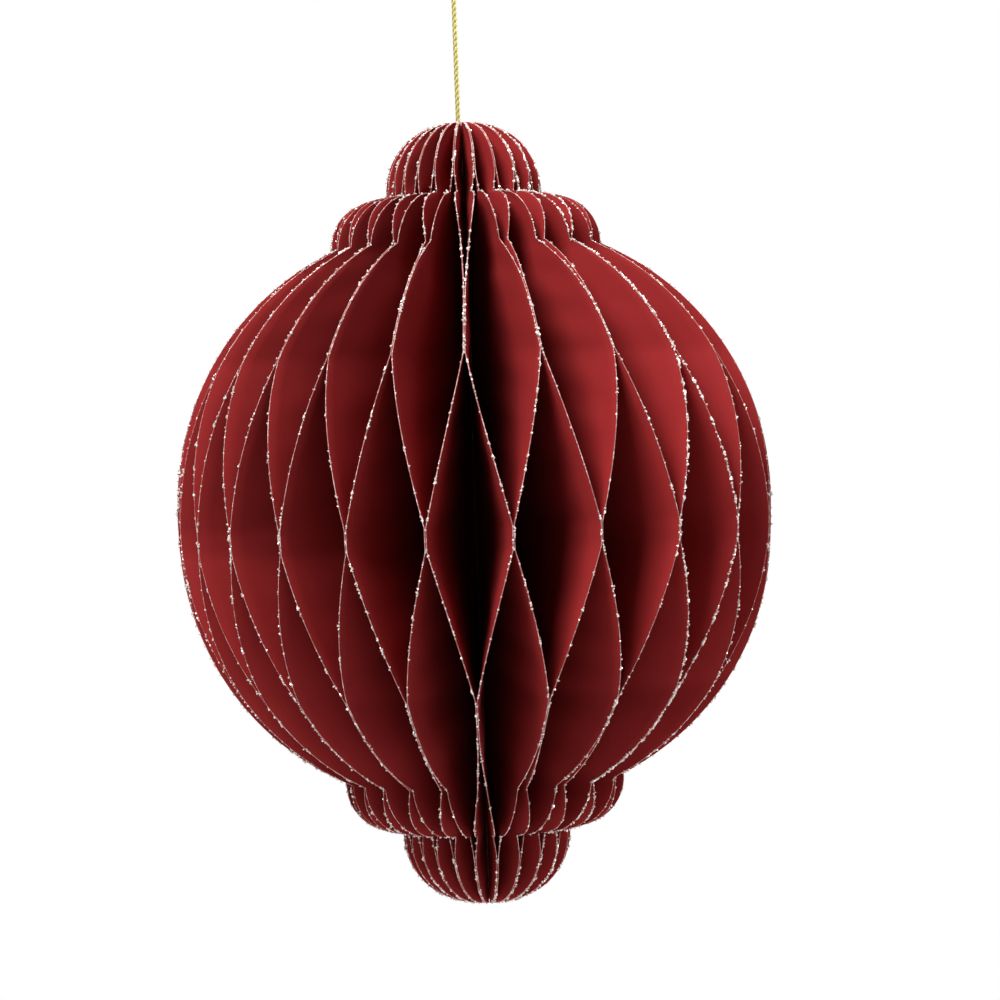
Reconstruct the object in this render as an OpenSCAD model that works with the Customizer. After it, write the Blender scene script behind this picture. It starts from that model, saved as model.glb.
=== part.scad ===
// Hanging paper ornament: a ring of die-cut card leaves bound at a central spine and
// glued to one neighbour after the other near their edges, so that they open as cells.
// The origin is the inside top of the hanging loop, where a hook carries the ornament.

/* [Leaves] */
// Number of card leaves around the spine
leaf_count = 48; // [24:2:56]
// Thickness of the card
card_t = 0.25; // [0.15:0.05:0.4]
// Thickness of the glue between two joined leaves
glue_t = 0.03; // [0.02:0.01:0.06]
// Play between two leaves where they are bound at the spine
root_play = 0.03; // [0.02:0.01:0.1]
// Share by which the cells are wider on one side and narrower on the other
unevenness = 0.19; // [0:0.01:0.3]
// Direction of the widest cells, from the front towards the right
wide_side = 78; // [-180:1:180]
// Direction of the cell that faces the front
front_turn = -1.3; // [-7:0.1:7]

/* [Body outline] */
// Radius of the body at its widest
body_r = 60; // [50:1:80]
// Height that the body's curve would have from pole to pole
body_h = 118.4; // [100:0.2:150]
// Fullness of the body's curve, where 2 is an ellipse
body_fullness = 2.1; // [2:0.05:2.6]

/* [Collar and dome outline] */
// Radius of the upper collar where it meets the body
collar_r = 27.2; // [22:0.1:34]
// Radius of the lower collar where it meets the body
low_collar_r = 28.1; // [22:0.1:34]
// Height of a collar
collar_h = 10.2; // [6:0.2:14]
// Fullness of a collar's curve, where 2 is an ellipse
collar_fullness = 2.25; // [2:0.05:2.6]
// Radius of the upper dome at its foot
dome_r = 15.7; // [12:0.1:20]
// Radius of the lower dome at its foot
low_dome_r = 16.9; // [12:0.1:20]
// Height of a dome
dome_h = 15.2; // [10:0.2:20]
// Fullness of a dome's curve, where 2 is an ellipse
dome_fullness = 2.25; // [2:0.05:2.6]
// Width of a leaf at the pole of the ornament
tip_w = 1; // [0.5:0.1:2]
// Turn of the edges at the top pole, to the right
pole_turn = 3.6; // [-5:0.1:5]

/* [Glue bands] */
// Height of the belt of glue near the widest place, under the middle
belt_drop = 3.7; // [0:0.1:8]
// Height of that belt of glue
belt_h = 4.4; // [2:0.1:8]
// Height of the upper belt's lower end above the middle
upper_band_low = 31; // [24:0.5:36]
// Height of the upper belt's upper end above the middle
upper_band_high = 48.5; // [40:0.5:51]
// Depth of the lower belt's upper end under the middle
lower_band_high = 34.5; // [24:0.5:38]
// Depth of the lower belt's lower end under the middle
lower_band_low = 48; // [40:0.5:51]
// Height of the glued part of each dome, from its pole
dome_band_h = 11; // [6:0.2:12]
// How early the leaves swing over between a dome and the body
swing_ease = 1.5; // [1:0.1:2]

/* [Cord and spine] */
// Diameter of the twisted cord
cord_d = 1; // [0.8:0.1:1.5]
// Diameter of the knot under the loop
knot_d = 3.2; // [2.4:0.2:4]
// Height of the knot
knot_h = 3.4; // [2.4:0.2:5]
// Distance from the loop's inside top down to the top of the leaves
hang_drop = 45.5; // [44:0.5:60]
// Depth of the spine's ends inside the ends of the leaves
spine_inset = 1.2; // [0.5:0.1:3]
// Gap between the spine and the leaves around it
spine_gap = 0.05; // [0.03:0.01:0.1]

/* [Hidden] */
leaf_names = [for (i = [1 : leaf_count]) str("leaf_", i < 10 ? "0" : "", i)];

card_red = "#8f1a22";
spine_red = "#6e1219";
cord_gold = "#c9ac4e";

pitch = 360 / leaf_count;
joined_t = card_t + glue_t;
root_t = card_t + root_play;
root_r = leaf_count * root_t / (2 * PI * (1 - unevenness));
tip_r = root_r + tip_w;

// Heights of the outline, all from the middle of the ornament
function neck_height(collar) =
    body_h / 2 * pow(1 - pow(collar / body_r, body_fullness), 1 / body_fullness);
function pole_height(shoulder, dome) =
    shoulder + dome_h * pow(1 - pow(tip_r / dome, dome_fullness), 1 / dome_fullness);
neck_z = neck_height(collar_r);
low_neck_z = neck_height(low_collar_r);
shoulder_z = neck_z + collar_h;
low_shoulder_z = low_neck_z + collar_h;
top_z = pole_height(shoulder_z, dome_r);
bottom_z = pole_height(low_shoulder_z, low_dome_r);
middle_z = -hang_drop - top_z;
dome_band_low = shoulder_z + dome_h - dome_band_h;
low_dome_band = low_shoulder_z + dome_h - dome_band_h;

// Steps along each stretch of a leaf's edge
dome_steps = 4;
collar_steps = 4;
crown_steps = 2;
side_steps = 3;

function body_edge(h) = body_r * pow(1 - pow(h / (body_h / 2), body_fullness), 1 / body_fullness);
function collar_edge(h, neck, collar, dome) =
    dome + (collar - dome) * pow(1 - pow((h - neck) / collar_h, collar_fullness), 1 / collar_fullness);
function dome_edge(h, shoulder, dome) =
    dome * pow(1 - pow((h - shoulder) / dome_h, dome_fullness), 1 / dome_fullness);

// Radius of the die-cut edge at a height h over or under the middle
function half_edge(h, neck, collar, dome) = h <= neck ? body_edge(h)
    : h < neck + collar_h ? collar_edge(h, neck, collar, dome)
    : dome_edge(h, neck + collar_h, dome);
function edge_r(z) = z >= 0 ? half_edge(z, neck_z, collar_r, dome_r)
    : half_edge(-z, low_neck_z, low_collar_r, low_dome_r);

// Heights where half a leaf has its corners, from the pole to the neck
function cap_heights(neck, dome) =
    let (last = acos(pow(tip_r / dome, dome_fullness / 2)))
    concat(
        [for (i = [0 : dome_steps])
            neck + collar_h + dome_h * pow(sin(last * (1 - i / dome_steps)), 2 / dome_fullness)],
        [for (i = [1 : collar_steps])
            neck + collar_h * pow(cos(90 * i / collar_steps), 2 / collar_fullness)]
    );
low_cap = cap_heights(low_neck_z, low_dome_r);

function between(from, to, steps) = [for (i = [1 : steps]) from + (to - from) * i / steps];

belt_top = -belt_drop + belt_h / 2;
belt_bottom = -belt_drop - belt_h / 2;

// All heights of a leaf's corners, from the top down
leaf_zs = concat(
    cap_heights(neck_z, dome_r),
    between(neck_z, upper_band_high, crown_steps),
    [upper_band_low],
    between(upper_band_low, belt_top, side_steps),
    [belt_bottom],
    between(belt_bottom, -lower_band_high, side_steps),
    [-lower_band_low],
    between(-lower_band_low, -low_neck_z, crown_steps),
    [for (i = [len(low_cap) - 2 : -1 : 0]) -low_cap[i]]
);

function clamped(s) = max(0, min(1, s));
// How far a leaf has gone over from a dome's glue at height dome_low to a belt at height belt
function gone_over(h, dome_low, belt) =
    1 - pow(1 - clamped((dome_low - h) / (dome_low - belt)), swing_ease);
// How far a leaf has left the neighbour it is glued to in the domes, from 0 to 1
function swing(z) =
    z > upper_band_high ? gone_over(z, dome_band_low, upper_band_high)
    : z >= upper_band_low ? 1
    : z > belt_top ? (z - belt_top) / (upper_band_low - belt_top)
    : z >= belt_bottom ? 0
    : z > -lower_band_high ? (belt_bottom - z) / (belt_bottom + lower_band_high)
    : z >= -lower_band_low ? 1
    : gone_over(-z, low_dome_band, lower_band_low);

// Direction of a leaf whose place in an even fan would be turn
fan_phase = 90 - wide_side;
fan_swing = unevenness * 180 / PI;
fan_start = fan_swing * cos(fan_phase) + front_turn;
function fanned(turn) = turn - fan_swing * cos(turn + fan_phase) + fan_start;

// Place in the even fan of a leaf's root, with the front cell between leaves 2 and 3
function root_turn(i) = pitch * (i - 2.5);
// 1 where a leaf's partner in the domes and at the belt has the next number, else -1
function side(i) = i % 2 == 1 ? 1 : -1;
// How far all edges turn together at a height above the middle
function common_turn(z) = pole_turn * pow(max(z, 0) / top_z, 3) * (1 - root_r / edge_r(z));
function edge_turn(i, z) =
    let (lean = side(i) * (1 - 2 * swing(z)))
    fanned(root_turn(i) + lean * pitch / 2) - lean * asin(joined_t / 2 / edge_r(z)) + common_turn(z);

// A point at a radius and a direction, where 0 is the front and positive turns go right
function polar(r, turn, z) = [r * sin(turn), -r * cos(turn), z + middle_z];

// The four corners of a leaf's section at one height: spine and edge on one face, then the other
function section(i, z) =
    let (
        inner = polar(root_r, fanned(root_turn(i)), z),
        outer = polar(edge_r(z), edge_turn(i, z), z),
        run = (outer - inner) / norm(outer - inner),
        half = [-run[1], run[0], 0] * card_t / 2
    )
    [inner - half, outer - half, outer + half, inner + half];

// Side faces between section k and the next one down, where both faces of the card are cut
// along the same line, from the spine above to the edge below
function walls(k) = [for (c = [0 : 3]) each
    let (a = 4 * k + c, b = 4 * k + (c + 1) % 4)
    c < 2 ? [[a, b, b + 4], [a, b + 4, a + 4]] : [[a, b, a + 4], [b, b + 4, a + 4]]];

module leaf(i) {
    last = len(leaf_zs) - 1;
    color(card_red)
        polyhedron(
            points = [for (z = leaf_zs) each section(i, z)],
            faces = concat(
                [[3, 2, 1, 0]],
                [for (k = [0 : last - 1]) each walls(k)],
                [[for (c = [0 : 3]) 4 * last + c]]
            )
        );
}

module spine() {
    color(spine_red)
        translate([0, 0, middle_z - bottom_z + spine_inset])
            cylinder(h = top_z + bottom_z - 2 * spine_inset, r = root_r - spine_gap, $fn = 96);
}

// Points of the cord: up from the spine, through the knot and once around the loop
cord_x = -0.6;
knot_z = -17;
cord_points = [
    [cord_x, 0, -hang_drop - spine_inset], [cord_x, 0, -44], [cord_x, 0, -41], [cord_x, 0, -38],
    [cord_x, 0, -35], [cord_x, 0, -32], [cord_x, 0, -29], [cord_x, 0, -26], [cord_x, 0, -23],
    [cord_x, 0, -20], [-0.6, 0, -17], [-1.2, 0, -14.5], [-2.4, 0, -12], [-3.5, 0, -9.5],
    [-4.2, 0, -7], [-4.2, 0, -4.5], [-3.4, 0, -2], [-1.8, 0, -0.2], [0, 0, 0.5], [1.8, 0, -0.2],
    [3.4, 0, -2], [4.2, 0, -4.5], [4.2, 0, -7], [3.5, 0, -9.5], [2.4, 0, -12], [1.2, 0, -14.5],
    [0.6, 0, -16.4]
];

// A round tube along points that lie in the plane facing the front
module tube(points, d, sides) {
    last = len(points) - 1;
    rings = [for (k = [0 : last])
        let (
            along = points[min(k + 1, last)] - points[max(k - 1, 0)],
            out = [along[2], 0, -along[0]] / norm(along)
        )
        [for (s = [0 : sides - 1])
            points[k] + d / 2 * (cos(360 * s / sides) * out + sin(360 * s / sides) * [0, 1, 0])]
    ];
    polyhedron(
        points = [for (ring = rings) each ring],
        faces = concat(
            [[for (s = [0 : sides - 1]) s]],
            [for (k = [0 : last - 1], s = [0 : sides - 1])
                let (a = k * sides + s, b = k * sides + (s + 1) % sides)
                [a, a + sides, b + sides, b]],
            [[for (s = [sides - 1 : -1 : 0]) last * sides + s]]
        )
    );
}

module cord() {
    color(cord_gold) tube(cord_points, cord_d, 8);
}

module knot() {
    color(cord_gold)
        translate([0, 0, knot_z])
            rotate_extrude($fn = 32)
                intersection() {
                    scale([knot_d / knot_h, 1]) circle(d = knot_h, $fn = 32);
                    translate([0, -knot_h]) square(2 * knot_h);
                }
}

for (i = [1 : leaf_count])
    leaf(i);
spine();
cord();
knot();
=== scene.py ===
"""Dresses the hanging paper ornament: card leaves, glitter edges, twisted cord and studio."""

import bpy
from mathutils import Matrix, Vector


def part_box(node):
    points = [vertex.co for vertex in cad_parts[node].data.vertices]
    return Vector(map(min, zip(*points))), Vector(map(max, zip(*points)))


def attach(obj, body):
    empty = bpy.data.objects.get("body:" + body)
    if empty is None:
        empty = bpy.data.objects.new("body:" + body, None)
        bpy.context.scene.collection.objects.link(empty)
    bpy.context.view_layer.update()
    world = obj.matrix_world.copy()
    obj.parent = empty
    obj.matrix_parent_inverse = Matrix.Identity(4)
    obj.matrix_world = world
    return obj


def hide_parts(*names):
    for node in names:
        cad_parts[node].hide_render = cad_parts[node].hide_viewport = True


bl_info = {
    "name": "Paper onion ornament",
    "version": (1, 0, 0),
    "blender": (4, 5, 0),
    "location": "3D View > Sidebar > Ornament",
    "description": "Builds a hanging honeycomb ornament of die-cut card with glitter edges",
    "category": "Add Mesh",
}

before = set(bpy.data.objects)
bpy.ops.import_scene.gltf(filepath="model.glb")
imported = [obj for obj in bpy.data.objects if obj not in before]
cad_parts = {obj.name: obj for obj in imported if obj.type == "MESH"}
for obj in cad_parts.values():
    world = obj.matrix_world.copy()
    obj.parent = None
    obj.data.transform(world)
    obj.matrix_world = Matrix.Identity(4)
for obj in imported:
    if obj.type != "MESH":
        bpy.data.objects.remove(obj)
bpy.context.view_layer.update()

import math
import random

import bpy
from mathutils import Euler, Matrix, Vector

MM = 0.001
LEAF_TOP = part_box("leaf_01")[1].z
LEAF_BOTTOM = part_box("leaf_01")[0].z
MIDDLE = (LEAF_TOP + LEAF_BOTTOM) / 2
# Range of a random turn or phase, in radians
ANY_TURN = (0, 6.28)


class LeafSizes(bpy.types.PropertyGroup):
    """Sizes of the card leaves and of how they are bound and glued."""

    count: bpy.props.IntProperty(
        name="Leaves", description="Card leaves around the spine", default=48, min=24, max=56)
    card: bpy.props.FloatProperty(
        name="Card", description="Thickness of the card", default=0.25 * MM, unit="LENGTH", precision=5)
    glue: bpy.props.FloatProperty(
        name="Glue", description="Thickness of the glue between joined leaves",
        default=0.03 * MM, unit="LENGTH", precision=5)
    root_play: bpy.props.FloatProperty(
        name="Root play", description="Play between leaves at the spine",
        default=0.03 * MM, unit="LENGTH", precision=5)
    unevenness: bpy.props.FloatProperty(
        name="Unevenness", description="Share by which cells are wider on one side",
        default=0.19, min=0, max=0.3, subtype="FACTOR")
    wide_side: bpy.props.FloatProperty(
        name="Wide side", description="Direction of the widest cells, from the front to the right",
        default=math.radians(78), subtype="ANGLE")
    front_turn: bpy.props.FloatProperty(
        name="Front turn", description="Direction of the cell that faces the front",
        default=math.radians(-1.3), subtype="ANGLE")
    belt_drop: bpy.props.FloatProperty(
        name="Belt drop", description="Depth of the middle belt of glue under the middle",
        default=3.7 * MM, unit="LENGTH", precision=4)
    belt_height: bpy.props.FloatProperty(
        name="Belt height", description="Height of the middle belt of glue",
        default=4.4 * MM, unit="LENGTH", precision=4)
    upper_low: bpy.props.FloatProperty(
        name="Upper belt low", description="Lower end of the upper belt, above the middle",
        default=31 * MM, unit="LENGTH", precision=4)
    upper_high: bpy.props.FloatProperty(
        name="Upper belt high", description="Mean upper end of the upper belt, above the middle",
        default=48.5 * MM, unit="LENGTH", precision=4)
    lower_high: bpy.props.FloatProperty(
        name="Lower belt high", description="Upper end of the lower belt, under the middle",
        default=34.5 * MM, unit="LENGTH", precision=4)
    lower_low: bpy.props.FloatProperty(
        name="Lower belt low", description="Mean lower end of the lower belt, under the middle",
        default=48 * MM, unit="LENGTH", precision=4)
    dome_belt: bpy.props.FloatProperty(
        name="Dome belt", description="Height of the glued part of each dome",
        default=11 * MM, unit="LENGTH", precision=4)
    swing_ease: bpy.props.FloatProperty(
        name="Swing ease", description="How early leaves swing over above the body", default=1.5)
    pole_turn: bpy.props.FloatProperty(
        name="Pole turn", description="Turn of the edges at the top pole, to the right",
        default=math.radians(3.6), subtype="ANGLE")
    bow: bpy.props.FloatProperty(
        name="Bow", description="Power of the bend from spine to edge, 1 for flat leaves", default=1.2)
    cockle: bpy.props.FloatProperty(
        name="Cockle", description="Height of the faint waves in the card",
        default=0.12 * MM, unit="LENGTH", precision=5)


class OutlineSizes(bpy.types.PropertyGroup):
    """Sizes of the die-cut outline of a leaf."""

    body_radius: bpy.props.FloatProperty(
        name="Body radius", description="Radius of the body at its widest",
        default=60 * MM, unit="LENGTH", precision=4)
    body_height: bpy.props.FloatProperty(
        name="Body height", description="Height of the body's curve from pole to pole",
        default=118.4 * MM, unit="LENGTH", precision=4)
    body_fullness: bpy.props.FloatProperty(
        name="Body fullness", description="Fullness of the body's curve", default=2.1)
    collar_radius: bpy.props.FloatProperty(
        name="Collar radius", description="Radius of the upper collar at the body",
        default=27.2 * MM, unit="LENGTH", precision=4)
    low_collar_radius: bpy.props.FloatProperty(
        name="Low collar radius", description="Radius of the lower collar at the body",
        default=28.1 * MM, unit="LENGTH", precision=4)
    collar_height: bpy.props.FloatProperty(
        name="Collar height", description="Height of a collar",
        default=10.2 * MM, unit="LENGTH", precision=4)
    collar_fullness: bpy.props.FloatProperty(
        name="Collar fullness", description="Fullness of a collar's curve", default=2.25)
    dome_radius: bpy.props.FloatProperty(
        name="Dome radius", description="Radius of the upper dome at its foot",
        default=15.7 * MM, unit="LENGTH", precision=4)
    low_dome_radius: bpy.props.FloatProperty(
        name="Low dome radius", description="Radius of the lower dome at its foot",
        default=16.9 * MM, unit="LENGTH", precision=4)
    dome_height: bpy.props.FloatProperty(
        name="Dome height", description="Height of a dome",
        default=15.2 * MM, unit="LENGTH", precision=4)
    dome_fullness: bpy.props.FloatProperty(
        name="Dome fullness", description="Fullness of a dome's curve", default=2.25)
    tip_width: bpy.props.FloatProperty(
        name="Tip width", description="Width of a leaf at the pole",
        default=1 * MM, unit="LENGTH", precision=4)


class GlitterSizes(bpy.types.PropertyGroup):
    """Amount and size of the glitter on the edges."""

    coat: bpy.props.FloatProperty(
        name="Coat", description="Width of the fine coat on each face",
        default=0.03 * MM, unit="LENGTH", precision=5)
    per_mm: bpy.props.FloatProperty(
        name="Grains", description="Fine grains for each millimetre of edge", default=1.9)
    fine: bpy.props.FloatProperty(
        name="Fine grain", description="Size of a fine grain",
        default=0.13 * MM, unit="LENGTH", precision=5)
    coarse: bpy.props.FloatProperty(
        name="Coarse grain", description="Size of a coarse grain",
        default=0.5 * MM, unit="LENGTH", precision=5)
    clump_every: bpy.props.FloatProperty(
        name="Clump spacing", description="Mean distance between clumps of coarse grains",
        default=2.2 * MM, unit="LENGTH", precision=4)
    clump_grains: bpy.props.IntProperty(
        name="Clump grains", description="Most grains in a clump", default=6)
    seed: bpy.props.IntProperty(name="Seed", description="Seed of the scatter", default=7)


class CordSizes(bpy.types.PropertyGroup):
    """Sizes of the hanging cord and its knot."""

    diameter: bpy.props.FloatProperty(
        name="Diameter", description="Diameter of the twisted cord",
        default=1 * MM, unit="LENGTH", precision=4)
    strands: bpy.props.IntProperty(
        name="Strands", description="Strands twisted together", default=3)
    lay_length: bpy.props.FloatProperty(
        name="Lay", description="Length of one full turn of the twist",
        default=3.6 * MM, unit="LENGTH", precision=4)
    groove: bpy.props.FloatProperty(
        name="Groove", description="Depth of the grooves, as a share of the radius",
        default=0.24, subtype="FACTOR")


class FinishColours(bpy.types.PropertyGroup):
    """Colours of the ornament and its studio."""

    card: bpy.props.FloatVectorProperty(
        name="Card", description="Dyed card", default=(0.335, 0.0255, 0.0265), size=3, subtype="COLOR")
    # Darker fibres, and painted shade on the card far from the edge, where the gaps between the leaves
    # are dark
    dark_fibres_and_painted_shade: bpy.props.FloatVectorProperty(
        name="Card, deep", description="Darker fibres, and the card far from the edge",
        default=(0.125, 0.0095, 0.01), size=3, subtype="COLOR")
    glitter: bpy.props.FloatVectorProperty(
        name="Glitter", description="Pale grains", default=(0.97, 0.88, 0.84), size=3, subtype="COLOR")
    glitter_deep: bpy.props.FloatVectorProperty(
        name="Glitter, deep", description="Darker grains",
        default=(0.62, 0.46, 0.39), size=3, subtype="COLOR")
    coat: bpy.props.FloatVectorProperty(
        name="Coat", description="Fine glitter dust on the rim",
        default=(0.53, 0.3, 0.27), size=3, subtype="COLOR")
    # The cord's yarn, lit on the strands' lobes, and the same yarn in painted shade for the grooves
    # between strands
    gold: bpy.props.FloatVectorProperty(
        name="Gold", description="Bright yarn of the cord",
        default=(0.6, 0.53, 0.2), size=3, subtype="COLOR")
    gold_yarn_and_groove_shade: bpy.props.FloatVectorProperty(
        name="Gold, deep", description="Shaded yarn of the cord",
        default=(0.22, 0.19, 0.055), size=3, subtype="COLOR")
    glue: bpy.props.FloatVectorProperty(
        name="Glue", description="Dried glue on the spine",
        default=(0.42, 0.2, 0.16), size=3, subtype="COLOR")
    floor: bpy.props.FloatVectorProperty(
        name="Floor", description="Studio floor", default=(0.86, 0.86, 0.86), size=3, subtype="COLOR")


class CameraPlace(bpy.types.PropertyGroup):
    """Place and lens of the camera, found from the outline in the photograph."""

    distance: bpy.props.FloatProperty(
        name="Distance", description="From the lens to the spine", default=0.654, unit="LENGTH")
    rise: bpy.props.FloatProperty(
        name="Rise", description="Height above the ornament's middle",
        default=9.12 * MM, unit="LENGTH", precision=4)
    turn: bpy.props.FloatProperty(
        name="Turn", description="Turn to the left", default=math.radians(-0.442), subtype="ANGLE")
    tilt: bpy.props.FloatProperty(
        name="Tilt", description="Tilt up", default=math.radians(-0.589), subtype="ANGLE")
    roll: bpy.props.FloatProperty(
        name="Roll", description="Roll against the clock", default=math.radians(-2.085), subtype="ANGLE")
    lens: bpy.props.FloatProperty(
        name="Lens", description="Focal length on a 36 mm sensor",
        default=116.56, subtype="DISTANCE_CAMERA")


class Wire:
    """One output socket of a finish, whose operators add Math nodes."""

    def __init__(self, finish, socket):
        self.finish = finish
        self.socket = socket

    def maths(self, operation, *values):
        return self.finish.node("ShaderNodeMath", {"operation": operation}, dict(enumerate(values)))

    def __add__(self, other):
        return self.maths("ADD", self, other)

    def __radd__(self, other):
        return self.maths("ADD", other, self)

    def __sub__(self, other):
        return self.maths("SUBTRACT", self, other)

    def __rsub__(self, other):
        return self.maths("SUBTRACT", other, self)

    def __mul__(self, other):
        return self.maths("MULTIPLY", self, other)

    def __rmul__(self, other):
        return self.maths("MULTIPLY", other, self)

    def __truediv__(self, other):
        return self.maths("DIVIDE", self, other)

    def limited(self):
        """The value held between 0 and 1."""
        return self.maths("MINIMUM", self.maths("MAXIMUM", self, 0.0), 1.0)


class Wiring:
    """A node tree under construction, of a material or of the world."""

    def __init__(self, holder):
        holder.use_nodes = True
        self.tree = holder.node_tree
        self.tree.nodes.clear()

    def node(self, kind, settings=None, inputs=None, output=0):
        """Adds a node: its settings first, then the values or links of its sockets."""
        made = self.tree.nodes.new(kind)
        for key, value in (settings or {}).items():
            if key == "stops":
                self.stops(made.color_ramp, value)
            else:
                setattr(made, key, value)
        for key, value in (inputs or {}).items():
            socket = made.inputs[key]
            if isinstance(value, Wire):
                self.tree.links.new(value.socket, socket)
            elif hasattr(value, "__len__") and socket.type == "RGBA" and len(value) == 3:
                socket.default_value = (*value, 1)
            else:
                socket.default_value = value
        return None if output is None else Wire(self, made.outputs[output])

    def stops(self, ramp, stops):
        """Sets a colour ramp's stops, as (place, grey)."""
        for element, (place, grey) in zip(ramp.elements, stops):
            element.position = place
            element.color = (grey, grey, grey, 1)

    def ended(self, kind, shader):
        """Leads a shader to the tree's output node of that kind."""
        self.node(kind, inputs={"Surface": shader}, output=None)


class Finish(Wiring):
    """A node material under construction."""

    def __init__(self, name):
        self.material = bpy.data.materials.new(name)
        super().__init__(self.material)

    def place(self):
        """The point in the piece's own space, in metres."""
        return self.node("ShaderNodeTexCoord", output="Object")

    def noise(self, where, size, detail=2.0, roughness=0.5):
        """Smooth noise whose features are about size metres across."""
        inputs = {"Vector": where, "Scale": 1 / size, "Detail": detail, "Roughness": roughness}
        return self.node("ShaderNodeTexNoise", {"noise_dimensions": "3D"}, inputs, "Fac")

    def stretched(self, where, scale):
        """Coordinates scaled by a vector."""
        return self.node("ShaderNodeVectorMath", {"operation": "MULTIPLY"}, {0: where, 1: scale})

    def attribute(self, name):
        """A number kept on the mesh."""
        return self.node("ShaderNodeAttribute", {"attribute_name": name}, output="Fac")

    def blended(self, share, first, second):
        """A colour between two others."""
        return self.node("ShaderNodeMix", {"data_type": "RGBA"}, {0: share, 6: first, 7: second}, 2)

    def bump(self, height, strength, depth):
        """A normal bent by a height, whose full depth is in metres."""
        inputs = {"Height": height, "Strength": strength, "Distance": depth}
        return self.node("ShaderNodeBump", inputs=inputs)

    def principled(self, **inputs):
        """Ends the material in a Principled shader and returns the material."""
        names = {key.replace("_", " "): value for key, value in inputs.items()}
        self.ended("ShaderNodeOutputMaterial", self.node("ShaderNodeBsdfPrincipled", inputs=names))
        return self.material


# Where painted shade begins to darken the card towards the spine, and over what length, in millimetres
# from the edge
PAINTED_SHADE_FROM = 5.0
PAINTED_SHADE_OVER = 28.0
# How sharply the fine coat of glitter ends on the card
COAT_SHARPNESS = 30.0
# The tone towards which some grains shade off
PALEST_GRAIN = (0.98, 0.93, 0.9)


def card_finish(colours, glitter):
    """Matt dyed card with painted shade towards the spine, whose cut edge carries patches of fine
    glitter.
    """
    f = Finish("dyed_card_and_painted_shade")
    where = f.place()
    mottle = f.noise(where, 9 * MM, 3.0)
    fibre = f.noise(f.stretched(where, (1.0, 1.0, 0.35)), 0.5 * MM, 4.0, 0.65)
    grain = f.noise(where, 0.16 * MM, 2.0)
    # Painted shade: the card darkens with its distance from the edge, standing in for the shade deep
    # between the leaves; mottle and fibre add real random tone
    deep = ((f.attribute("rim_depth") - PAINTED_SHADE_FROM) / PAINTED_SHADE_OVER).limited()
    shade = (mottle * 0.25 + fibre * 0.25 + 0.62 - deep * 0.7).limited()
    card = f.blended(shade, tuple(colours.dark_fibres_and_painted_shade), tuple(colours.card))
    ragged = f.noise(where, 0.4 * MM, 2.0)
    patch = f.noise(where, 3 * MM, 1.0)
    spot = f.noise(where, 0.55 * MM, 2.0, 0.6)
    reach = glitter.coat / MM * (0.2 + ragged * 1.6)
    rim = ((reach - f.attribute("rim_depth")) * COAT_SHARPNESS).limited()
    dust = rim * (0.25 + patch * 0.7 + ragged * 0.5).limited()
    bead = rim * ((spot * 0.7 + patch * 0.3 - 0.5) * 8.0).limited()
    dusted = f.blended(dust, card, tuple(colours.coat))
    return f.principled(
        Base_Color=f.blended(bead, dusted, tuple(colours.glitter)),
        Roughness=0.66 + fibre * 0.12 - bead * 0.25,
        Normal=f.bump(fibre * 0.6 + grain * 0.4 + bead * 3.0, 0.35, 0.03 * MM),
        Specular_IOR_Level=0.06,
    )


def glitter_finish(colours):
    """Pale grains whose tone and sparkle change from one to the next."""
    f = Finish("glitter_grains")
    where = f.place()
    tone = ((f.noise(where, 0.3 * MM, 1.0) - 0.34) * 5.0).limited()
    tint = f.noise(where, 2.2 * MM, 1.0)
    spark = ((f.noise(where, 0.5 * MM, 1.0) - 0.42) * 5.0).limited()
    pale = f.blended(tint, tuple(colours.glitter), PALEST_GRAIN)
    return f.principled(
        Base_Color=f.blended(tone, tuple(colours.glitter_deep), pale),
        Roughness=0.2 + tint * 0.2,
        Metallic=spark * 0.75,
        Specular_IOR_Level=0.8,
    )


def cord_finish(colours):
    """Metallic yarn, with painted shade in the grooves between its strands."""
    f = Finish("gold_cord")
    where = f.place()
    groove = f.attribute("groove")
    yarn = f.noise(where, 0.14 * MM, 3.0, 0.6)
    # Painted shade: darker towards the grooves between strands, with real random tone from the yarn
    # noise
    lit_lobes_and_yarn_tone = (groove * 1.3 + yarn * 0.5 - 0.6).limited()
    return f.principled(
        Base_Color=f.blended(lit_lobes_and_yarn_tone, tuple(colours.gold_yarn_and_groove_shade), tuple(colours.gold)),
        Roughness=0.3 + yarn * 0.25,
        Metallic=0.55,
        Normal=f.bump(yarn, 0.5, 0.05 * MM),
        Specular_IOR_Level=0.5,
    )


def glue_finish(colours):
    """Dried glue and torn fibres over the leaves' roots."""
    f = Finish("spine_glue")
    where = f.place()
    blotch = f.noise(where, 1.6 * MM, 3.0)
    fibre = f.noise(f.stretched(where, (1.0, 1.0, 0.2)), 0.3 * MM, 3.0)
    mask = ((blotch - 0.35) * 2.6).limited()
    return f.principled(
        # The card between the glue blotches takes the dark fibre colour that also serves as painted
        # shade deep on the leaves
        Base_Color=f.blended(mask, tuple(colours.dark_fibres_and_painted_shade), tuple(colours.glue)),
        Roughness=0.35 + fibre * 0.4,
        Normal=f.bump(blotch + fibre * 0.3, 0.6, 0.2 * MM),
        Specular_IOR_Level=0.5,
    )


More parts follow.
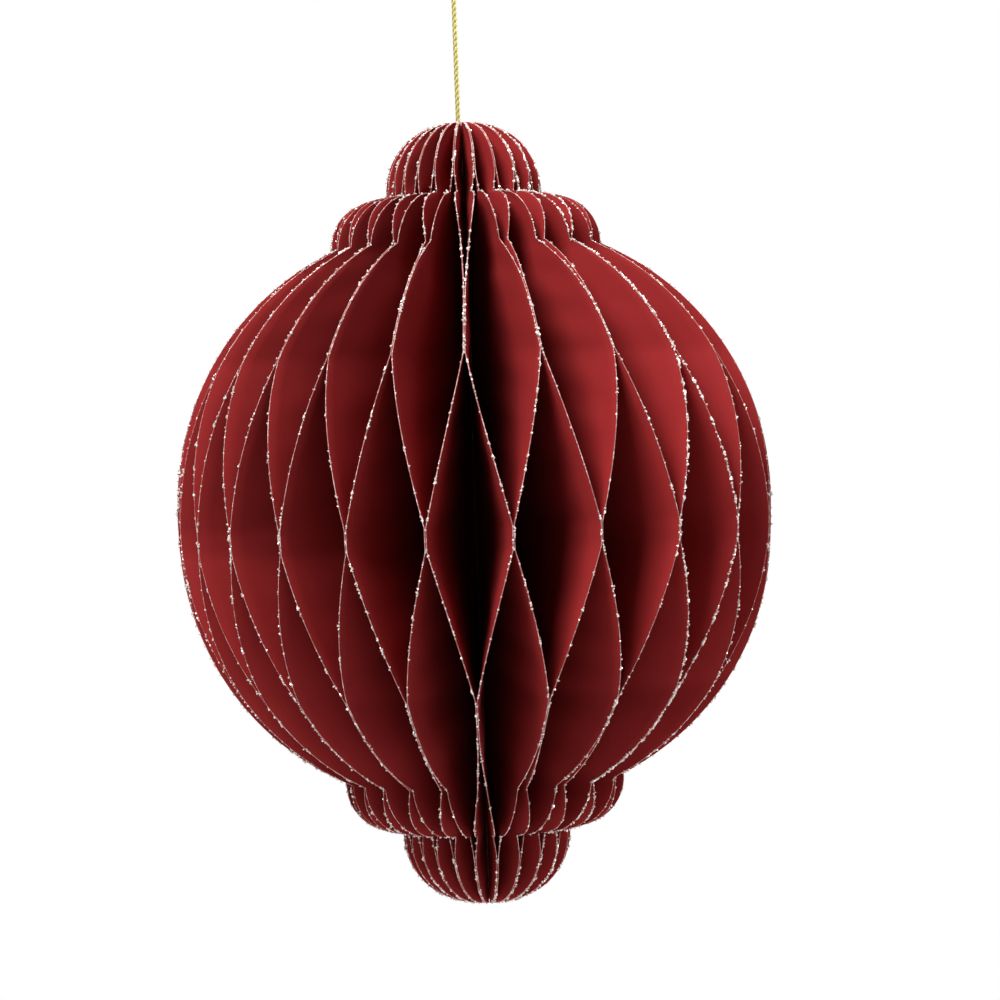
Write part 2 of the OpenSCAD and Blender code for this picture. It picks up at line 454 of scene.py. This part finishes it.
class Half:
    """Upper or lower half of the die-cut edge, by the distance from the middle."""

    def __init__(self, sizes, collar, dome, tip):
        self.s, self.collar, self.dome, self.tip = sizes, collar, dome, tip
        across = (collar / sizes.body_radius) ** sizes.body_fullness
        self.neck = sizes.body_height / 2 * (1 - across) ** (1 / sizes.body_fullness)
        self.shoulder = self.neck + sizes.collar_height
        self.pole = self.shoulder + sizes.dome_height
        narrow = (tip / dome) ** sizes.dome_fullness
        self.end = self.shoulder + sizes.dome_height * (1 - narrow) ** (1 / sizes.dome_fullness)

    def radius(self, h):
        """Radius of the edge at a distance from the middle."""
        s = self.s
        if h <= self.neck:
            across = (1 - (h / (s.body_height / 2)) ** s.body_fullness) ** (1 / s.body_fullness)
            return s.body_radius * across
        if h < self.shoulder:
            rise = min(1.0, (h - self.neck) / s.collar_height)
            across = (1 - rise ** s.collar_fullness) ** (1 / s.collar_fullness)
            return self.dome + (self.collar - self.dome) * across
        rise = min(1.0, (h - self.shoulder) / s.dome_height)
        return max(self.tip, self.dome * (1 - rise ** s.dome_fullness) ** (1 / s.dome_fullness))

    def cap(self, dome_rows=14, collar_rows=12):
        """Distances of the rows from the pole to the neck, closest where the edge turns."""
        s = self.s
        last = math.acos((self.tip / self.dome) ** (s.dome_fullness / 2))
        rows = []
        for k in range(dome_rows + 1):
            a = last * (1 - k / dome_rows)
            rows.append(self.shoulder + s.dome_height * math.sin(a) ** (2 / s.dome_fullness))
        for k in range(1, collar_rows + 1):
            rise = max(0.0, math.cos(math.pi / 2 * k / collar_rows)) ** (2 / s.collar_fullness)
            rows.append(self.neck + s.collar_height * rise)
        return rows


class Outline:
    """The die-cut edge of a leaf: its radius at each height from the middle."""

    ROW_STEP = 1.15 * MM

    def __init__(self, sizes, leaves):
        bound = leaves.card + leaves.root_play
        self.root = leaves.count * bound / (2 * math.pi * (1 - leaves.unevenness))
        tip = self.root + sizes.tip_width
        self.upper = Half(sizes, sizes.collar_radius, sizes.dome_radius, tip)
        self.lower = Half(sizes, sizes.low_collar_radius, sizes.low_dome_radius, tip)
        self.middle = LEAF_TOP - self.upper.end

    def radius(self, z):
        """Radius of the edge at a height from the middle."""
        return self.upper.radius(z) if z >= 0 else self.lower.radius(-z)

    def heights(self, leaves):
        """Heights of a leaf's rows from top to bottom."""
        belt_top = -leaves.belt_drop + leaves.belt_height / 2
        belt_bottom = -leaves.belt_drop - leaves.belt_height / 2
        marks = [self.upper.neck, leaves.upper_low, belt_top, belt_bottom, -leaves.lower_high,
                 -self.lower.neck]
        body = []
        for high, low in zip(marks, marks[1:]):
            steps = max(1, round((high - low) / self.ROW_STEP))
            body += [high + (low - high) * k / steps for k in range(1, steps + 1)]
        return self.upper.cap() + body + [-h for h in reversed(self.lower.cap())][1:]


class Fan:
    """How the leaves spread round the spine and lean to their glued neighbours."""

    # How far the glue of the pairs in view reaches past the mean ends, up and down, in millimetres,
    # from the fourth pair left of the front one to the fourth right of it
    REACH_UP = (4, 3.8, 2.2, 1.2, -7, -6.2, -11.6, 3.9, 4.4)
    REACH_DOWN = (4.6, 4.6, 3.2, 0.2, -8, -7.4, -8, 4.6, 4.5)
    LEFTMOST = -3
    # The same for the pairs out of view, drawn at random
    UNSEEN_REACH = (-5, 4.4)
    SEED = 500

    def __init__(self, leaves, outline):
        self.s = leaves
        self.outline = outline
        self.pitch = 2 * math.pi / leaves.count
        self.phase = math.pi / 2 - leaves.wide_side
        self.start = leaves.unevenness * math.cos(self.phase) + leaves.front_turn
        self.belt_top = -leaves.belt_drop + leaves.belt_height / 2
        self.belt_bottom = -leaves.belt_drop - leaves.belt_height / 2
        self.ends = [self.pair_ends(pair) for pair in range(leaves.count // 2)]

    def pair_ends(self, pair):
        """Distances from the middle at which a pair's upper and lower belts end."""
        rng = random.Random(self.SEED + pair)
        place = (pair - self.LEFTMOST) % (self.s.count // 2)
        if place < len(self.REACH_UP):
            up, down = self.REACH_UP[place], self.REACH_DOWN[place]
        else:
            up, down = rng.uniform(*self.UNSEEN_REACH), rng.uniform(*self.UNSEEN_REACH)
        return self.s.upper_high + up * MM, self.s.lower_low + down * MM

    def fanned(self, turn):
        """Direction of the leaf whose place in an even fan would be turn."""
        return turn - self.s.unevenness * math.cos(turn + self.phase) + self.start

    def root_turn(self, i):
        """Place of leaf i in an even fan, with the front cell between leaves 2 and 3."""
        return self.pitch * (i - 2.5)

    def swing(self, i, z):
        """How far leaf i has left its neighbour in the domes, from 0 to 1."""
        s = self.s
        high, low = self.ends[i // 2 % (s.count // 2)]
        if z > high or z < -low:
            half, belt = (self.outline.upper, high) if z > 0 else (self.outline.lower, low)
            mean = s.upper_high if z > 0 else s.lower_low
            glued = half.pole - s.dome_belt
            gone = (glued - abs(z)) / (glued - belt)
            ease = s.swing_ease * (glued - belt) / (glued - mean)
            return 1 - (1 - min(1.0, max(0.0, gone))) ** ease
        if z >= s.upper_low or z <= -s.lower_high:
            return 1.0
        if z > self.belt_top:
            return (z - self.belt_top) / (s.upper_low - self.belt_top)
        if z < self.belt_bottom:
            return (self.belt_bottom - z) / (self.belt_bottom + s.lower_high)
        return 0.0

    def edge_turn(self, i, z, radius):
        """Direction of leaf i's edge at a height."""
        lean = (1 if i % 2 else -1) * (1 - 2 * self.swing(i, z))
        joined = self.s.card + self.s.glue
        aside = math.asin(joined / 2 / radius)
        rise = max(z, 0.0) / self.outline.upper.end
        turned = self.s.pole_turn * rise ** 3 * (1 - self.outline.root / radius)
        return self.fanned(self.root_turn(i) + lean * self.pitch / 2) - lean * aside + turned


def rim_distance(point, rim):
    """Distance from a point of the flat leaf to its die-cut edge."""
    best = 1.0
    for a, b in zip(rim, rim[1:]):
        along = b - a
        t = min(1.0, max(0.0, (point - a).dot(along) / along.length_squared))
        best = min(best, (point - a - along * t).length)
    return best


class LeafShape:
    """One leaf's rows and columns, shared by the card and its glitter."""

    # Columns from the root to the strip along the edge, whose width is a number of coats
    SHARES = (0.0, 0.1, 0.24, 0.4, 0.56, 0.72, 0.86, 0.95, 1.0)
    STRIP_COATS = 4
    # Relative heights and waves per metre of the cockling, and its phase gained from root to edge
    WAVE_HEIGHTS = (0.6, 1.0)
    WAVE_COUNTS = (60, 130)
    WAVE_LEAN = 5
    SEED = 100
    # Least share at which a leaf's slope is taken, because it has none at the root itself
    SLOPE_SHARE = 0.02

    def __init__(self, leaves, outline, glitter):
        self.s = leaves
        self.outline = outline
        self.fan = Fan(leaves, outline)
        self.zs = outline.heights(leaves)
        self.radii = [outline.radius(z) for z in self.zs]
        self.rim = [Vector((r, z)) for r, z in zip(self.radii, self.zs)]
        self.strip = self.STRIP_COATS * glitter.coat
        self.columns = [self.shares(r) for r in self.radii]
        self.depths = [
            [rim_distance(Vector((outline.root + share * (r - outline.root), z)), self.rim)
             for share in row]
            for r, z, row in zip(self.radii, self.zs, self.columns)
        ]

    def shares(self, radius):
        """Shares of the way from root to edge, ending in a narrow strip along the edge."""
        width = radius - self.outline.root
        inner = 1 - min(self.strip, width / 3) / width
        return [share * inner for share in self.SHARES] + [1.0]

    def waves(self, i):
        """Two faint waves of the card, different on each leaf."""
        rng = random.Random(self.SEED + i)
        ranges = (self.WAVE_HEIGHTS, self.WAVE_COUNTS, ANY_TURN)
        return [tuple(rng.uniform(*limits) for limits in ranges) for _ in range(2)]

    def section(self, i, z, radius, shares, waves):
        """Points and sideways directions of leaf i's middle surface at one height."""
        fan, root = self.fan, self.outline.root
        base = fan.fanned(fan.root_turn(i))
        turn = fan.edge_turn(i, z, radius) - base
        out = Vector((math.sin(base), -math.cos(base), 0))
        aside = Vector((math.cos(base), math.sin(base), 0))
        reach = radius * math.cos(turn) - root
        lean = radius * math.sin(turn)
        bow = self.s.bow
        points, normals = [], []
        for share in shares:
            wave = sum(
                a * math.sin(f * z * math.tau + p + self.WAVE_LEAN * share) for a, f, p in waves)
            ripple = self.s.cockle * wave * share * (1 - share) * 4
            x = root + reach * share
            y = lean * share ** bow + ripple
            slope = lean * bow * max(share, self.SLOPE_SHARE) ** (bow - 1)
            run = (out * reach + aside * slope).normalized()
            points.append(out * x + aside * y + Vector((0, 0, z + self.outline.middle)))
            normals.append(Vector((-run.y, run.x, 0)))
        return points, normals


def new_mesh(name, points, faces, materials, smooth=True):
    """A mesh object linked to the scene."""
    mesh = bpy.data.meshes.new(name)
    mesh.from_pydata(points, [], faces)
    mesh.polygons.foreach_set("use_smooth", [smooth] * len(mesh.polygons))
    for material in materials:
        mesh.materials.append(material)
    piece = bpy.data.objects.new(name, mesh)
    bpy.context.scene.collection.objects.link(piece)
    return piece


# Thickness left at the die-cut edge, as a share of the card's
PINCH = 0.54
# Folds sharper than this keep a hard edge in the shading
SHARP_ANGLE = math.radians(40)


def card_leaf(shape, i, material):
    """Card leaf i: two faces, a rim and a root, with each point's distance from the edge."""
    half = shape.s.card / 2
    waves = shape.waves(i)
    points, depth = [], []
    for z, radius, shares, row in zip(shape.zs, shape.radii, shape.columns, shape.depths):
        middle, normals = shape.section(i, z, radius, shares, waves)
        normals[-1] *= PINCH
        points += [p - n * half for p, n in zip(middle, normals)]
        points += [p + n * half for p, n in zip(middle, normals)]
        depth += row + row
    wide = len(shape.columns[0])
    across = 2 * wide
    rows = len(shape.zs)
    faces = []
    for k in range(rows - 1):
        here, below = k * across, (k + 1) * across
        for c in range(wide - 1):
            faces.append((here + c, here + c + 1, below + c + 1, below + c))
            faces.append((here + wide + c, below + wide + c, below + wide + c + 1, here + wide + c + 1))
        rim, rim_back = wide - 1, across - 1
        faces.append((here + rim, here + rim_back, below + rim_back, below + rim))
        faces.append((here, below, below + wide, here + wide))
    end = (rows - 1) * across
    for c in range(wide - 1):
        faces.append((c, wide + c, wide + c + 1, c + 1))
        faces.append((end + c, end + c + 1, end + wide + c + 1, end + wide + c))
    leaf = new_mesh("card_leaf_%02d" % i, points, faces, [material])
    leaf.data.attributes.new("rim_depth", "FLOAT", "POINT").data.foreach_set(
        "value", [d / MM for d in depth])
    leaf.data.set_sharp_from_angle(angle=SHARP_ANGLE)
    return leaf


TETRA = [Vector(v) for v in ((1, 1, 1), (1, -1, -1), (-1, 1, -1), (-1, -1, 1))]
TETRA_FACES = [(0, 1, 2), (0, 3, 1), (0, 2, 3), (1, 3, 2)]
OCTA = [Vector(v) for v in ((1, 0, 0), (-1, 0, 0), (0, 1, 0), (0, -1, 0), (0, 0, 1), (0, 0, -1))]
OCTA_FACES = [(0, 2, 4), (2, 1, 4), (1, 3, 4), (3, 0, 4), (2, 0, 5), (1, 2, 5), (3, 1, 5), (0, 3, 5)]


class Scatter:
    """Grains laid along one leaf's edge."""

    # Leaves whose edge took clearly more glitter in the photograph
    RICH = {3: 1.8, 8: 4.6, 9: 4}
    # Range of a grain's corners, of fine grains and of coarse ones, as shares of their size
    CORNER_SHARE = (0.6, 1.15)
    FINE_SHARE = (0.6, 1.4)
    COARSE_SHARE = (0.6, 1.3)
    # Range of the fine grains' depth under the edge, in millimetres, and place across half the card
    FINE_DEPTH = (-0.03, 0.05)
    FINE_SIDE = (-0.5, 0.5)
    # Range of a leaf's amount of coarse grains, of their lift off the edge as a share of their size,
    # and the spread of a clump along the edge
    LEAF_SHARE = (0.6, 1.4)
    COARSE_LIFT = (-0.15, 0.35)
    CLUMP_SPREAD = 0.14 * MM

    def __init__(self, shape, i, glitter):
        self.leaf = i
        self.rng = random.Random(glitter.seed * 1000 + i)
        self.points, self.faces = [], []
        waves = shape.waves(i)
        self.spots, self.sides = [], []
        for z, radius in zip(shape.zs, shape.radii):
            middle, normals = shape.section(i, z, radius, [0.0, 1.0], waves)
            self.spots.append(middle[1])
            self.sides.append((normals[1], (middle[1] - middle[0]).normalized()))
        self.along = [0.0]
        for a, b in zip(self.spots, self.spots[1:]):
            self.along.append(self.along[-1] + (b - a).length)
        self.half = shape.s.card / 2

    def spot(self, distance):
        """Point, sideways direction and inward direction at a distance along the edge."""
        low, high = 0, len(self.along) - 1
        while high - low > 1:
            mid = (low + high) // 2
            if self.along[mid] <= distance:
                low = mid
            else:
                high = mid
        t = (distance - self.along[low]) / (self.along[high] - self.along[low])
        point = self.spots[low].lerp(self.spots[high], t)
        aside = self.sides[low][0]
        run = (self.spots[high] - self.spots[low]).normalized()
        inward = run.cross(aside)
        if inward.dot(self.sides[low][1]) > 0:
            inward = -inward
        return point, aside, inward

    def grain(self, centre, size, corners, faces):
        """One irregular grain in a random attitude."""
        rng = self.rng
        turn = Euler([rng.uniform(*ANY_TURN) for _ in range(3)]).to_matrix()
        start = len(self.points)
        for corner in corners:
            stretch = size / 2 * rng.uniform(*self.CORNER_SHARE)
            self.points.append(centre + turn @ (corner.normalized() * stretch))
        self.faces += [tuple(start + c for c in face) for face in faces]

    def fine(self, glitter):
        """The even dusting along the whole edge."""
        rng, length = self.rng, self.along[-1]
        for _ in range(int(length / MM * glitter.per_mm)):
            point, aside, inward = self.spot(rng.uniform(0, length))
            depth = rng.uniform(*self.FINE_DEPTH) * MM
            side = rng.uniform(*self.FINE_SIDE) * self.half
            size = glitter.fine * rng.uniform(*self.FINE_SHARE)
            self.grain(point + aside * side + inward * depth, size, TETRA, TETRA_FACES)

    def clumps(self, glitter):
        """Coarse grains, alone or heaped here and there."""
        rng, length = self.rng, self.along[-1]
        rich = self.RICH.get(self.leaf, 1) * rng.uniform(*self.LEAF_SHARE)
        wide = self.half * (0.5 + 0.1 * rich)
        for _ in range(int(length / glitter.clump_every * rich)):
            at = rng.uniform(0, length)
            many = rng.choice((1, 1, 1, 1, 2, 2, 3, glitter.clump_grains))
            spread = self.CLUMP_SPREAD * many ** 0.5
            for _ in range(many):
                point, aside, inward = self.spot(min(length, max(0, at + rng.gauss(0, spread))))
                side = rng.gauss(0, wide)
                size = glitter.coarse * rng.uniform(*self.COARSE_SHARE)
                lift = rng.uniform(*self.COARSE_LIFT) * size
                self.grain(point + aside * side - inward * lift, size, OCTA, OCTA_FACES)


def glitter_edge(shape, i, glitter, material):
    """The grains along leaf i's edge, as one piece."""
    scatter = Scatter(shape, i, glitter)
    scatter.fine(glitter)
    scatter.clumps(glitter)
    return new_mesh("glitter_edge_%02d" % i, scatter.points, scatter.faces, [material], smooth=False)


class ORNAMENT_OT_camera(bpy.types.Operator):
    """Place the camera as the photograph was taken"""

    bl_idname = "ornament.camera"
    bl_label = "Camera"

    def execute(self, context):
        place = context.scene.ornament_camera
        data = bpy.data.cameras.new("studio_camera")
        data.sensor_width = 36
        data.lens = place.lens
        data.clip_start = 0.01
        data.clip_end = 50
        camera = bpy.data.objects.new("studio_camera", data)
        camera.matrix_world = (
            Matrix.Translation((0, -place.distance, MIDDLE + place.rise))
            @ Matrix.Rotation(place.turn, 4, "Z")
            @ Matrix.Rotation(math.pi / 2 + place.tilt, 4, "X")
            @ Matrix.Rotation(place.roll, 4, "Z")
        )
        context.scene.collection.objects.link(camera)
        context.scene.camera = camera
        return {"FINISHED"}


# The cord's points from the top of the spine, through the knot and round the loop, in millimetres
CORD_ROUTE = [
    (-0.6, 0, -46.7), (-0.6, 0, -44), (-0.6, 0, -41), (-0.6, 0, -38), (-0.6, 0, -35), (-0.6, 0, -32),
    (-0.6, 0, -29), (-0.6, 0, -26), (-0.6, 0, -23), (-0.6, 0, -20), (-0.6, 0, -17), (-1.2, 0, -14.5),
    (-2.4, 0, -12), (-3.5, 0, -9.5), (-4.2, 0, -7), (-4.2, 0, -4.5), (-3.4, 0, -2), (-1.8, 0, -0.2),
    (0, 0, 0.5), (1.8, 0, -0.2), (3.4, 0, -2), (4.2, 0, -4.5), (4.2, 0, -7), (3.5, 0, -9.5),
    (2.4, 0, -12), (1.2, 0, -14.5), (0.6, 0, -16.4),
]
# Distance between the rings of the cord's mesh
CORD_STEP = 0.14 * MM


def curve_through(points, step):
    """Evenly spaced points on a smooth curve through the given ones."""
    ends = [points[0] * 2 - points[1]] + points + [points[-1] * 2 - points[-2]]
    dense = []
    parts = 24
    for k in range(1, len(ends) - 2):
        p0, p1, p2, p3 = ends[k - 1:k + 3]
        for j in range(parts):
            t = j / parts
            dense.append(0.5 * (2 * p1 + (p2 - p0) * t + (2 * p0 - 5 * p1 + 4 * p2 - p3) * t ** 2
                                + (3 * p1 - p0 - 3 * p2 + p3) * t ** 3))
    dense.append(points[-1])
    even = [dense[0]]
    left = step
    for a, b in zip(dense, dense[1:]):
        length = (b - a).length
        while left <= length:
            even.append(a.lerp(b, left / length))
            left += step
        left -= length
    return even


def twisted_tube(name, path, sizes, material, sides=24):
    """A cord of strands twisted round each other along a path."""
    points, faces, grooves = [], [], []
    travelled = 0.0
    across = Vector((0, 1, 0))
    for k, centre in enumerate(path):
        run = (path[min(k + 1, len(path) - 1)] - path[max(k - 1, 0)]).normalized()
        across = (across - run * across.dot(run)).normalized()
        other = run.cross(across)
        if k:
            travelled += (centre - path[k - 1]).length
        twist = math.tau * travelled / sizes.lay_length
        for s in range(sides):
            a = math.tau * s / sides
            strand = abs(math.cos(sizes.strands / 2 * (a - twist)))
            lobe = 1 - (1 - strand) ** 2
            radius = sizes.diameter / 2 * (1 - sizes.groove * (1 - lobe))
            points.append(centre + (across * math.cos(a) + other * math.sin(a)) * radius)
            grooves.append(lobe)
    last = len(path) - 1
    for k in range(last):
        for s in range(sides):
            a, b = k * sides + s, k * sides + (s + 1) % sides
            faces.append((a, b, b + sides, a + sides))
    faces.append(tuple(range(sides - 1, -1, -1)))
    faces.append(tuple(last * sides + s for s in range(sides)))
    piece = new_mesh(name, points, faces, [material])
    piece.data.attributes.new("groove", "FLOAT", "POINT").data.foreach_set("value", grooves)
    return piece


class ORNAMENT_OT_cord(bpy.types.Operator):
    """Make the twisted hanging cord with its loop and knot"""

    bl_idname = "ornament.cord"
    bl_label = "Cord and knot"

    def execute(self, context):
        sizes = context.scene.ornament_cord
        material = cord_finish(context.scene.ornament_colours)
        path = curve_through([Vector(p) * MM for p in CORD_ROUTE], CORD_STEP)
        cord = twisted_tube("hanging_cord", path, sizes, material)
        knot = self.knot(sizes, material)
        for piece in (cord, knot):
            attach(piece, "root")
        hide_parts("cord")
        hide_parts("knot")
        length = sum((b - a).length for a, b in zip(path, path[1:]))
        return {"FINISHED"}

    def knot(self, sizes, material):
        """A tight overhand knot, whose cord crosses itself three times."""
        low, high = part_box("knot")
        middle, reach = (low + high) / 2, (high - low) / 2
        thick = sizes.diameter / 2
        inset = thick * 0.9
        points = []
        steps = 150
        for k in range(steps + 1):
            t = math.tau * k / steps
            x = (math.sin(t) + 2 * math.sin(2 * t)) / 3
            z = (math.cos(t) - 2 * math.cos(2 * t)) / 3
            y = -math.sin(3 * t)
            points.append(middle + Vector((
                x * (reach.x - inset), y * (reach.y - thick), z * (reach.z - inset))))
        return twisted_tube("cord_knot", points, sizes, material, sides=16)


class ORNAMENT_OT_leaves(bpy.types.Operator):
    """Make the card leaves"""

    bl_idname = "ornament.leaves"
    bl_label = "Card leaves"

    def execute(self, context):
        scene = context.scene
        outline = Outline(scene.ornament_outline, scene.ornament_leaves)
        shape = LeafShape(scene.ornament_leaves, outline, scene.ornament_glitter)
        material = card_finish(scene.ornament_colours, scene.ornament_glitter)
        for i in range(1, scene.ornament_leaves.count + 1):
            leaf = card_leaf(shape, i, material)
            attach(leaf, "root")
            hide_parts("leaf_%02d" % i)
        return {"FINISHED"}


class ORNAMENT_OT_glitter(bpy.types.Operator):
    """Scatter glitter along every leaf's edge"""

    bl_idname = "ornament.glitter"
    bl_label = "Glitter edges"

    def execute(self, context):
        scene = context.scene
        outline = Outline(scene.ornament_outline, scene.ornament_leaves)
        shape = LeafShape(scene.ornament_leaves, outline, scene.ornament_glitter)
        material = glitter_finish(scene.ornament_colours)
        for i in range(1, scene.ornament_leaves.count + 1):
            grains = glitter_edge(shape, i, scene.ornament_glitter, material)
            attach(grains, "root")
        return {"FINISHED"}


class ORNAMENT_OT_spine(bpy.types.Operator):
    """Finish the glued spine that binds the leaves"""

    bl_idname = "ornament.spine"
    bl_label = "Spine"

    def execute(self, context):
        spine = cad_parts["spine"]
        material = glue_finish(context.scene.ornament_colours)
        if not spine.material_slots:
            spine.data.materials.append(material)
        for slot in spine.material_slots:
            slot.material = material
        return {"FINISHED"}


class ORNAMENT_OT_stage(bpy.types.Operator):
    """Make the floor, the lamps and the white surroundings"""

    bl_idname = "ornament.stage"
    bl_label = "Stage"

    LAMP_SIZE = 0.5
    LAMP_DISTANCE = 1.1
    # Name, angles right of the front and above in degrees, and power of each lamp
    LAMPS = (
        ("key_lamp", -35, 50, 15.5),
        ("side_lamp", 100, 14, 7.5),
        ("high_lamp", 60, 60, 3.2),
        ("back_lamp", 180, 35, 9),
    )
    # Light of the white surroundings on the ornament
    AMBIENT = 0.035
    # Half the floor's width, and how far it lies below the leaves
    FLOOR_HALF = 1.5
    FLOOR_DROP = 0.3
    # Share of plain white in the floor that the camera sees. The rest keeps the shadow
    FLOOR_WHITE = 0.6

    def execute(self, context):
        self.floor(context.scene.ornament_colours)
        for lamp in self.LAMPS:
            self.lamp(*lamp)
        self.surroundings(context.scene, self.AMBIENT)
        context.scene.view_settings.view_transform = "Standard"
        return {"FINISHED"}

    def floor(self, colours):
        """A wide pale floor well below the hanging ornament."""
        f = Finish("studio_floor")
        tone = f.noise(f.place(), 0.15, 2.0)
        pale = tuple(colours.floor)
        soft = tuple(0.97 * c for c in pale)
        lit = f.node("ShaderNodeBsdfPrincipled", inputs={
            "Base Color": f.blended(tone, soft, pale), "Roughness": 0.85, "Specular IOR Level": 0.2})
        white = f.node("ShaderNodeEmission", inputs={"Color": (1.0, 1.0, 1.0), "Strength": 1.0})
        seen = f.node("ShaderNodeLightPath", output="Is Camera Ray")
        f.ended("ShaderNodeOutputMaterial", f.node(
            "ShaderNodeMixShader", inputs={0: seen * self.FLOOR_WHITE, 1: lit, 2: white}))
        size, level = self.FLOOR_HALF, LEAF_BOTTOM - self.FLOOR_DROP
        corners = [
            (-size, -size, level), (size, -size, level), (size, size, level), (-size, size, level)]
        floor = new_mesh("studio_floor", corners, [(0, 1, 2, 3)], [f.material])

    def lamp(self, name, right, above, power):
        """A square soft lamp facing the middle, by its angles right of the front and above."""
        data = bpy.data.lights.new(name, "AREA")
        data.shape = "SQUARE"
        data.size = self.LAMP_SIZE
        data.energy = power
        lamp = bpy.data.objects.new(name, data)
        right, above = math.radians(right), math.radians(above)
        way = Vector((
            math.sin(right) * math.cos(above), -math.cos(right) * math.cos(above), math.sin(above)))
        lamp.location = Vector((0, 0, MIDDLE)) + way * self.LAMP_DISTANCE
        lamp.rotation_euler = (-way).to_track_quat("-Z", "Y").to_euler()
        bpy.context.scene.collection.objects.link(lamp)

    def surroundings(self, scene, level):
        """White where the camera, gloss and glass see it, and a plain level as light."""
        world = bpy.data.worlds.new("studio_white")
        w = Wiring(world)
        camera, gloss, glass = (
            w.node("ShaderNodeLightPath", output="Is %s Ray" % kind)
            for kind in ("Camera", "Glossy", "Transmission"))
        seen = (camera + gloss + glass).limited()
        strength = level + seen * (1 - level)
        w.ended("ShaderNodeOutputWorld", w.node("ShaderNodeBackground", inputs={
            "Color": (1.0, 1.0, 1.0), "Strength": strength}))
        scene.world = world


class ORNAMENT_PT_panel(bpy.types.Panel):
    """Sidebar panel that lists the pieces"""

    bl_idname = "ORNAMENT_PT_panel"
    bl_label = "Ornament"
    bl_space_type = "VIEW_3D"
    bl_region_type = "UI"
    bl_category = "Ornament"

    def draw(self, context):
        for step in STEPS:
            self.layout.operator(step.bl_idname)


STEPS = (
    ORNAMENT_OT_camera,
    ORNAMENT_OT_cord,
    ORNAMENT_OT_leaves,
    ORNAMENT_OT_glitter,
    ORNAMENT_OT_spine,
    ORNAMENT_OT_stage,
)
GROUPS = {
    "ornament_leaves": LeafSizes,
    "ornament_outline": OutlineSizes,
    "ornament_glitter": GlitterSizes,
    "ornament_cord": CordSizes,
    "ornament_colours": FinishColours,
    "ornament_camera": CameraPlace,
}


def register():
    for name, group in GROUPS.items():
        bpy.utils.register_class(group)
        setattr(bpy.types.Scene, name, bpy.props.PointerProperty(type=group))
    for cls in (*STEPS, ORNAMENT_PT_panel):
        bpy.utils.register_class(cls)


def unregister():
    for cls in (ORNAMENT_PT_panel, *reversed(STEPS)):
        bpy.utils.unregister_class(cls)
    for name, group in GROUPS.items():
        delattr(bpy.types.Scene, name)
        bpy.utils.unregister_class(group)


def main():
    register()
    for step in STEPS:
        space, action = step.bl_idname.split(".")
        getattr(getattr(bpy.ops, space), action)()
    bpy.context.view_layer.update()


if __name__ == "__main__":
    main()
